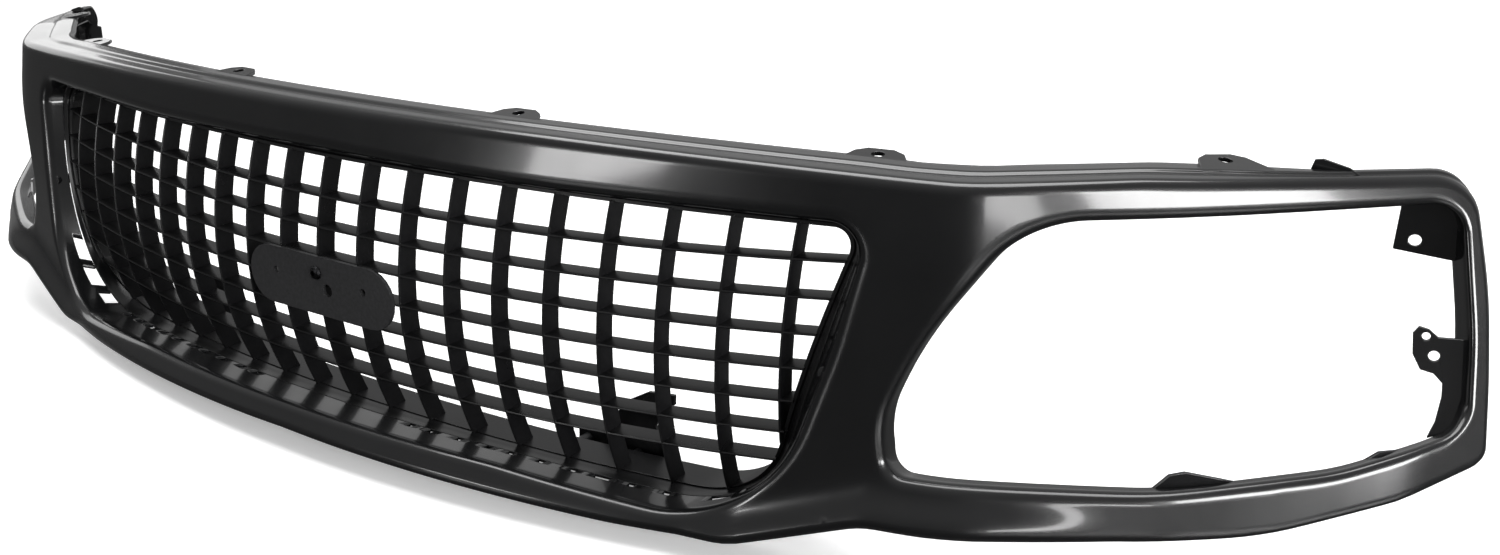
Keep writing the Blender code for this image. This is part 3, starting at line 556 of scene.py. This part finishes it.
def turned_metal(name, colour, roughness):
    """Plated steel of the screws, with fine turning marks and a mottled finish."""
    n = Nodes(name)
    n.shader.inputs["Metallic"].default_value = 1.0
    tarnish = n.mix(n.spread(n.noise(220, 5, 0.7), 0, 1), tuple(0.6 * c for c in colour), colour)
    n.link(tarnish, n.shader.inputs["Base Color"])
    n.link(n.spread(n.noise(900, 4), roughness - 0.08, roughness + 0.10),
           n.shader.inputs["Roughness"])
    n.link(n.bump(n.noise(2600, 2), 0.00003, 0.4), n.shader.inputs["Normal"])
    return n.material


def studio_white():
    """Pale floor: white to the camera, darker in the reflections of the black plastic."""
    n = Nodes("studio_floor")
    seen = n.add("ShaderNodeLightPath").outputs["Is Camera Ray"]
    faint = n.mix(n.spread(n.noise(2, 3), 0, 1), (0.93, 0.93, 0.93), (0.96, 0.96, 0.96))
    n.link(n.mix(seen, (FLOOR_IN_REFLECTIONS,) * 3, faint), n.shader.inputs["Base Color"])
    n.link(n.spread(n.noise(30, 4), 0.28, 0.36), n.shader.inputs["Roughness"])
    n.link(faint, n.shader.inputs["Emission Color"])
    along = n.add("ShaderNodeSeparateXYZ")
    n.link(n.place, along.inputs[0])
    unseen = n.spread(along.outputs["Y"], 0.0, BACKDROP_GLOW, 0.9, 3.0)
    shown = n.spread(along.outputs["Y"], FLOOR_GLOW, 1.0, 0.5, 2.5)
    glow = n.add("ShaderNodeMix", data_type="FLOAT")
    n.link(seen, glow.inputs[0])
    n.link(unseen, glow.inputs[2])
    n.link(shown, glow.inputs[3])
    n.link(glow.outputs[0], n.shader.inputs["Emission Strength"])
    return n.material


GLOSS_BLACK = gloss_black()
SATIN_BLACK = satin_black("satin_black_plastic", (0.0055, 0.0055, 0.006), 0.30, 1500)
PLATE_BLACK = satin_black("seat_plate_plastic", (0.018, 0.018, 0.019), 0.46, 2200)
SCREW_BLACK = turned_metal("black_screw_steel", (0.03, 0.03, 0.032), 0.34)
ZINC = turned_metal("zinc_plated_steel", (0.58, 0.58, 0.60), 0.32)


# ---------------------------------------------------------------- the shell
RIM_STRETCHES = divided(CENTRE_OPENING, CENTRE_RADII, CENTRE_SPLITS)
RIM = join(RIM_STRETCHES)
FRAME_EDGE = join(divided(FRAME_OUTLINE, FRAME_RADII, FRAME_SPLITS))
WALL_ROWS = 24                 # rows of the wall between the rolled rim and the seam


def shell_loops():
    """Matched inner and outer loops of the right half of the shell."""
    first, end, lower, pillar, last = split_path(
        rounded_path(LAMP_OPENING + LAMP_OPENING[:1], LAMP_RADII + [0]), LAMP_SPLITS)
    upper = resample(np.concatenate([last, first[1:]]), LAMP_TOP_COLUMNS)
    end = resample(end, END_COLUMNS)
    lower = resample(lower, LAMP_BOTTOM_COLUMNS)
    top, side, bottom = RIM_STRETCHES
    edge = split_path(rounded_path(OUTER_EDGE, OUTER_RADII), OUTER_SPLITS)
    crest = join([alongside(edge[0], top), alongside(edge[1], upper),
                  resample(edge[2], END_COLUMNS), alongside(edge[3], lower),
                  alongside(edge[4], bottom)])
    normal = outward(crest)
    brow = crest - normal * end_radius(EDGE_RADIUS, normal, crest)
    a, b = TOP_COLUMNS, len(brow) - 1 - BOTTOM_COLUMNS
    middle = rounded_path([brow[a]] + PILLAR_MIDDLE + [brow[b]], [0, 200, 200, 0])
    middle = resample(middle, SIDE_COLUMNS, corner_weight=0)
    centre_outer = join([brow[:a + 1], middle, brow[b:]])
    lamp_outer = join([brow[a:b + 1], middle[::-1]])
    lamp = join([upper, end, lower, resample(pillar, SIDE_COLUMNS)])
    return centre_outer, lamp, lamp_outer, crest, normal


def slot_spans():
    """First column, last column and first share of the way back of every slot in the wall."""
    def nearest(mark):
        return int(np.argmin(np.linalg.norm(RIM - np.array(mark, float), axis=1)))

    spans = [(nearest(a), nearest(b), near) for a, b, near in CORNER_SLOTS]
    for x in DRAIN_SLOTS:
        spans.append((nearest((x, -90)), nearest((x - DRAIN_WIDTH, -90)), DRAIN_SHARE))
    return spans


def edge_rows(crest, normal):
    """Rows round the rolled outer edge, then back along the ledge and the return flange."""
    top = np.clip(normal[:, 1], 0, 1)**4
    end = np.clip(normal[:, 0], 0, 1)**2 * (crest[:, 0] > 700)
    depth = np.maximum(top * ledge_depth(crest[:, 0]) + (1 - top) * RETURN_DEPTH, 20)
    tuck = normal * (END_TUCK * end)[:, None]
    step = normal * (STEP_HEIGHT * top)[:, None]
    base = face_depth(crest[:, 0], crest[:, 1])
    half = lifted(crest - 0.5 * tuck, base + 0.5 * depth)
    riser = lifted(crest - 0.6 * tuck + step, base + 0.5 * depth + 2.5)
    rear = lifted(crest - tuck + step, base + depth)
    brow = on_face(crest - normal * end_radius(EDGE_RADIUS, normal, crest))
    start = towards(lifted(crest, base), half, EDGE_RADIUS)
    return (roll(brow, lifted(crest, base), start) + between(start, half, 4) + [half]
            + between(half, riser, 3) + [riser] + between(riser, rear, 4) + [rear])


def shell_sheet(bm):
    """The outer skin of the right half, one sheet of quads facing outwards."""
    centre_outer, lamp, lamp_outer, crest, normal = shell_loops()
    away = outward(RIM)
    inner = RIM + away * (RIM_RADIUS - 2.5 * np.clip(-away[:, 1:], 0, 1))
    seam = funnel(RIM, FRAME_EDGE, WALL_SHARE)
    corner = on_face(RIM)
    start = towards(corner, seam, RIM_RADIUS)
    wall = [seam] + between(seam, start, WALL_ROWS)
    spans = slot_spans()

    def slotted(row, column):
        share = WALL_SHARE * (1 - (row + 0.5) / WALL_ROWS)
        return row < WALL_ROWS and any(a <= column < b and share > near for a, b, near in spans)

    add_grid(bm, wall + roll(start, corner, on_face(inner)) + face_rows(inner, centre_outer),
             open_at=slotted)

    away = outward(lamp[:-1], closed=True)
    away = np.concatenate([away, away[:1]])
    tuck = LAMP_TUCK * np.clip(away[:, 0], 0, 1)**2 - LAMP_DROP * np.clip(-away[:, 1], 0, 1)**2
    back = lifted(lamp - away * tuck[:, None], face_depth(lamp[:, 0], lamp[:, 1]) + LAMP_WALL)
    inner = lamp + away * end_radius(LAMP_RIM_RADIUS, away, lamp)
    corner = on_face(lamp)
    start = towards(corner, back, LAMP_RIM_RADIUS)
    add_grid(bm, [back] + between(back, start, 6) + roll(start, corner, on_face(inner))
             + face_rows(inner, lamp_outer))

    add_grid(bm, edge_rows(crest, normal))
    bmesh.ops.remove_doubles(bm, verts=bm.verts[:], dist=2e-5)


def build_shell():
    bm = bmesh.new()
    shell_sheet(bm)
    mirror_copy(bm)
    shell = piece("shell_skin", bm, GLOSS_BLACK, 50)
    solidify(shell, SHELL_WALL)
    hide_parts("grille_shell")


def ledge_height(x):
    return float(np.interp(abs(x), [0, 440, 520, 640], [151.5, 150.5, 152.0, 157.0]))


def ledge_tabs():
    """Flat tabs with a hole along the back of the top ledge."""
    bm = bmesh.new()
    flat = Matrix.Rotation(-math.pi / 2, 4, "X")
    for x in LEDGE_TABS:
        slope = float(upper_plan(x + 5) - upper_plan(x - 5)) / 10
        y = float(upper_plan(x) + ledge_depth(x)) + 6
        for side in (-1, 1):
            turn = Matrix.Rotation(side * math.atan(slope), 4, "Z")
            spot = move(side * x, y - 3, ledge_height(x) + 0.5)
            outline = [(px, py) for px, py in TAB_OUTLINE]
            merge(bm, plate(outline, [circle((0, 0), TAB_HOLE_RADIUS)], TAB_THICKNESS,
                            spot @ turn @ TAB_TILT @ flat))
    for side in (-1, 1):
        x, y, z = LEDGE_FIN_PLACE
        outline = [(side * px, pz) for px, pz in LEDGE_FIN][::side]
        merge(bm, plate(outline, [], SHELL_WALL, move(side * x, y, z)))
    return bm


def lamp_tabs():
    """Moulded tabs inside the outer end of the right headlamp opening, and on its rail."""
    bm = bmesh.new()
    holes = [circle((x, z), r) for x, z, r in UPPER_TAB_HOLES]
    merge(bm, plate(UPPER_LAMP_TAB, holes, 3, move(0, UPPER_TAB_DEPTH, 0)))
    holes = [circle((x, z), r) for x, z, r in LOWER_TAB_HOLES]
    lean_back = Matrix.Identity(4)
    lean_back[1][2] = LOWER_TAB_LEAN
    merge(bm, plate(LOWER_LAMP_TAB, holes, 3,
                    move(0, LOWER_TAB_DEPTH - LOWER_TAB_LEAN * 40, 0) @ lean_back))
    for x, y, z, outline in RAIL_TABS:
        slope = float(face_depth(x + 10, z) - face_depth(x - 10, z)) / 20
        merge(bm, plate(outline, [], SHELL_WALL,
                        move(x, y, z) @ Matrix.Rotation(math.atan(slope), 4, "Z")))
    mirror_copy(bm)
    return bm


def ear_places():
    """Boss centre, outward direction, inner end, y of the ear and y of the boss's front."""
    away = outward(FRAME_EDGE)
    seam = funnel(RIM, FRAME_EDGE, WALL_SHARE)
    places = []
    for mark in EAR_MARKS:
        k = int(np.argmin(np.linalg.norm(FRAME_EDGE - np.array(mark, float), axis=1)))
        out = away[k]
        spread = max(float((seam[k, [0, 2]] - FRAME_EDGE[k]) @ out), 0)
        boss = FRAME_EDGE[k] + out * (spread + SHELL_WALL + BOSS_RADIUS + 0.8)
        y = float(insert_depth(*FRAME_EDGE[k])) + EAR_DEPTH
        for side in ((-1, 1) if mark[0] else (1,)):
            flip = np.array([side, 1.0])
            places.append((boss * flip, out * flip, (FRAME_EDGE[k] - out * 1.5) * flip, y,
                           float(seam[k, 1]) - BOSS_OVERLAP, seam[k, [0, 2]] * flip))
    return places


def shell_bosses():
    """Solid screw bosses beside the opening, the lower ones with a rib to its wall."""
    bm = bmesh.new()
    for boss, out, inner, y, front, foot in ear_places():
        merge(bm, rod(boss, BOSS_RADIUS, front, y - 0.2))
        if out[1] < -0.5:
            across = np.array([1.5, 0.0])
            top = boss - out * 2
            rib = [tuple(p) for p in (foot - across, foot + across, top + across, top - across)]
            merge(bm, plate(rib, [], BOSS_OVERLAP - 4, move(0, front + 3, 0)))
    return bm


def build_shell_fixings():
    for name, bm in (("ledge_tabs", ledge_tabs()), ("lamp_tabs", lamp_tabs()),
                     ("shell_bosses", shell_bosses())):
        obj = piece(name, bm, GLOSS_BLACK)
        soften(obj, 0.5)


# ---------------------------------------------------------------- the insert
FRAME_PATH = rounded_path(FRAME_OUTLINE, FRAME_RADII)
FIN_EDGE = resample(FRAME_PATH, 800, 0) - outward(resample(FRAME_PATH, 800, 0)) * 1.5


def fin_end(value, along, keep):
    """Coordinate where a fin meets the frame, on the stretch of its outline to keep."""
    stretch = FIN_EDGE[keep]
    order = np.argsort(stretch[:, 1 - along])
    return float(np.interp(value, stretch[order, 1 - along], stretch[order, along]))


def fin_front(x, z):
    """Y of a fin's front edge, set back behind the seat plate."""
    half = (SEAT_LENGTH - SEAT_HEIGHT) / 2
    inside = np.hypot(np.maximum(np.abs(x) - half, 0), z) < SEAT_HEIGHT / 2 + GAP
    return np.where(inside, SEAT_THICKNESS + GAP, insert_depth(x, z))


def fin(bm, x, z, across):
    """A thin blade along the points (x, z) with a rounded front edge."""
    half = FIN_THICKNESS / 2
    front = fin_front(x, z)
    back = insert_depth(x, z) + FIN_DEPTH
    section = [(half, None), (half, 1.3), (0.72 * half, 0.35), (0, 0.0), (-0.72 * half, 0.35),
               (-half, 1.3), (-half, None)]
    rows = []
    for side, behind in section:
        y = back if behind is None else front + behind
        rows.append(np.stack([x + side * across[0], y, z + side * across[1]], axis=1))
    add_grid(bm, rows + rows[:1])


def build_fins():
    bm = bmesh.new()
    above, below = FIN_EDGE[:, 1] > 60, FIN_EDGE[:, 1] < -30
    right = (FIN_EDGE[:, 0] > 330) & (FIN_EDGE[:, 1] < 104)
    for i in range(-BARS_PER_SIDE, BARS_PER_SIDE + 1):
        x = i * BAR_PITCH
        z = np.linspace(fin_end(abs(x), 1, below), fin_end(abs(x), 1, above), 90)
        fin(bm, np.full(90, x), z, (1, 0))
    for j in range(-SLATS_PER_SIDE, SLATS_PER_SIDE + 1):
        reach = fin_end(j * ROW_PITCH + SLAT_CROWN * 420**2, 0, right)
        x = np.linspace(-reach, reach, 300)
        fin(bm, x, j * ROW_PITCH + SLAT_CROWN * x**2, (0, -1))
    bmesh.ops.recalc_face_normals(bm, faces=bm.faces[:])
    fins = piece("insert_fins", bm, SATIN_BLACK, 35)
    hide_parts("grille_insert")


def both_halves(row):
    """A closed ring of points from its right half."""
    flip = np.array([-1.0] + [1.0] * (row.shape[1] - 1))
    return np.concatenate([row, row[::-1][1:-1] * flip])


def build_insert_frame():
    """The wall round the fins with its rear lip, and the stepped collar in front of it."""
    away = outward(FRAME_EDGE)
    inner, lip = FRAME_EDGE - away * FRAME_WALL, FRAME_EDGE + away * FRAME_LIP
    rows = []
    for outline, behind in ((inner, FRAME_SETBACK), (FRAME_EDGE, FRAME_SETBACK),
                            (FRAME_EDGE, FRAME_DEPTH - 3), (lip, FRAME_DEPTH - 3),
                            (lip, FRAME_DEPTH), (inner, FRAME_DEPTH), (inner, FRAME_SETBACK)):
        row = lifted(outline, insert_depth(outline[:, 0], outline[:, 1]) + behind)
        rows.append(both_halves(row))
    bm = bmesh.new()
    add_grid(bm, rows, closed=True)

    root = funnel(RIM, FRAME_EDGE, 1)
    edge = towards(funnel(RIM, FRAME_EDGE, WALL_SHARE), root, SEAM)
    middle = (edge + root) / 2
    skin = funnel_normal(RIM, FRAME_EDGE) * COLLAR_THICKNESS
    drop = np.array([0, COLLAR_STEP, 0])
    root = root - lifted(away, np.zeros(len(away))) * 1.5 + drop
    rows = [edge, middle, middle + drop, root, root + skin, middle + drop + skin, edge + skin, edge]
    add_grid(bm, [both_halves(row) for row in rows], closed=True)
    bmesh.ops.remove_doubles(bm, verts=bm.verts[:], dist=2e-5)
    bmesh.ops.recalc_face_normals(bm, faces=bm.faces[:])
    obj = piece("insert_frame", bm, SATIN_BLACK, 30)
    soften(obj, 0.6, 3)


def build_insert_fixings():
    """Ears that take the insert's screws, and bosses for the brackets and the seat's screw."""
    bm = bmesh.new()
    for boss, out, inner, y, front, foot in ear_places():
        across = np.array([-out[1], out[0]])
        tip = boss + out * EAR_REACH
        outline = [inner - across * EAR_HALF, inner + across * EAR_HALF, boss + across * EAR_HALF,
                   tip + across * 6, tip - across * 6, boss - across * EAR_HALF]
        merge(bm, plate([tuple(p) for p in outline], [], EAR_THICKNESS, move(0, y + GAP, 0)))
    for x in BRACKET_BOSSES:
        for side in (-1, 1):
            merge(bm, rod((side * x, BRACKET_BOSS_HEIGHT), BOSS_RADIUS, BRACKET_BOSS_FRONT,
                          BRACKET_DEPTH))
    merge(bm, rod(SEAT_SCREW, 5.2, SEAT_THICKNESS + GAP, FIN_DEPTH))
    obj = piece("insert_fixings", bm, SATIN_BLACK)
    soften(obj, 0.4)


# ---------------------------------------------------------------- carried-over CAD pieces
def dress_cad_pieces():
    """Materials and flat or smooth shading for the pieces whose CAD shape is right."""
    looks = {"emblem_plate": PLATE_BLACK, "emblem_plate_screw": SCREW_BLACK,
             "lower_bracket_left": SATIN_BLACK, "lower_bracket_right": SATIN_BLACK}
    for name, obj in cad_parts.items():
        if obj.hide_render:
            continue
        obj.data.materials.clear()
        obj.data.materials.append(looks.get(name, ZINC))
        if name == "emblem_plate":
            obj.data.shade_flat()
        else:
            obj.data.shade_smooth()
            obj.data.set_sharp_from_angle(angle=math.radians(35))


# ---------------------------------------------------------------- studio
CAMERA_PLACE = (0.7168, -0.5646, 0.3043)
CAMERA_AZIMUTH, CAMERA_ELEVATION, CAMERA_ROLL = 28.993, 16.468, 1.974
CAMERA_LENS = 26.54
CAMERA_SHIFT = (-0.0055, -0.0282)


def build_camera():
    az, el, tilt = (math.radians(a) for a in (CAMERA_AZIMUTH, CAMERA_ELEVATION, CAMERA_ROLL))
    back = Vector((math.sin(az) * math.cos(el), -math.cos(az) * math.cos(el), math.sin(el)))
    right = Vector((math.cos(az), math.sin(az), 0))
    up = back.cross(right)
    across = right * math.cos(tilt) + up * math.sin(tilt)
    upright = up * math.cos(tilt) - right * math.sin(tilt)
    data = bpy.data.cameras.new("photo_camera")
    data.lens = CAMERA_LENS
    data.shift_x, data.shift_y = CAMERA_SHIFT
    data.clip_start = 0.01
    camera = bpy.data.objects.new("photo_camera", data)
    camera.matrix_world = (Matrix.Translation(CAMERA_PLACE)
                           @ Matrix((across, upright, back)).transposed().to_4x4())
    bpy.context.scene.collection.objects.link(camera)
    bpy.context.scene.camera = camera


def build_floor():
    """A wide floor that the lowest edge stands on, curved up far behind as a backdrop."""
    bm = bmesh.new()
    base = CAD_BOX[0][2] - 0.0005
    profile = [(-8.0, base)]
    profile += [(6.0 + 2.0 * math.sin(a), base + 2.0 - 2.0 * math.cos(a))
                for a in np.radians(np.linspace(0, 90, 24))]
    profile.append((8.0, base + 8.0))
    left, right = ([bm.verts.new((x, y, z)) for y, z in profile] for x in (-12.0, 12.0))
    for k in range(len(profile) - 1):
        bm.faces.new((left[k], right[k], right[k + 1], left[k + 1]))
    mesh = bpy.data.meshes.new("studio_floor")
    bm.to_mesh(mesh)
    bm.free()
    mesh.shade_smooth()
    mesh.materials.append(studio_white())
    floor = bpy.data.objects.new("studio_floor", mesh)
    bpy.context.scene.collection.objects.link(floor)


def area_light(name, place, aim, size, power):
    """A rectangular softbox that the camera itself doesn't see."""
    data = bpy.data.lights.new(name, "AREA")
    data.shape = "RECTANGLE"
    data.size, data.size_y = size
    data.energy = power
    lamp = bpy.data.objects.new(name, data)
    lamp.location = place
    lamp.rotation_euler = (Vector(aim) - Vector(place)).to_track_quat("-Z", "Y").to_euler()
    lamp.visible_camera = False
    bpy.context.scene.collection.objects.link(lamp)


def build_world():
    """White behind the floor's edge, a dim dome to everything else."""
    world = bpy.data.worlds.new("studio")
    bpy.context.scene.world = world
    world.use_nodes = True
    tree = world.node_tree
    nodes, link = tree.nodes, tree.links.new
    height = nodes.new("ShaderNodeSeparateXYZ")
    link(nodes.new("ShaderNodeTexCoord").outputs["Generated"], height.inputs[0])
    dome = nodes.new("ShaderNodeMapRange")
    dome.inputs["To Min"].default_value = DOME_LOW
    dome.inputs["To Max"].default_value = DOME_HIGH
    link(height.outputs["Z"], dome.inputs["Value"])
    strength = nodes.new("ShaderNodeMix")
    link(nodes.new("ShaderNodeLightPath").outputs["Is Camera Ray"], strength.inputs[0])
    link(dome.outputs["Result"], strength.inputs[2])
    strength.inputs[3].default_value = 1.0
    nodes["Background"].inputs["Color"].default_value = (1, 1, 1, 1)
    link(strength.outputs[0], nodes["Background"].inputs["Strength"])


def build_lights():
    build_world()
    for softbox in SOFTBOXES:
        area_light(*softbox)
    bpy.context.scene.view_settings.view_transform = "Standard"


build_shell()
build_shell_fixings()
build_fins()
build_insert_frame()
build_insert_fixings()
dress_cad_pieces()
build_floor()
build_lights()
build_camera()
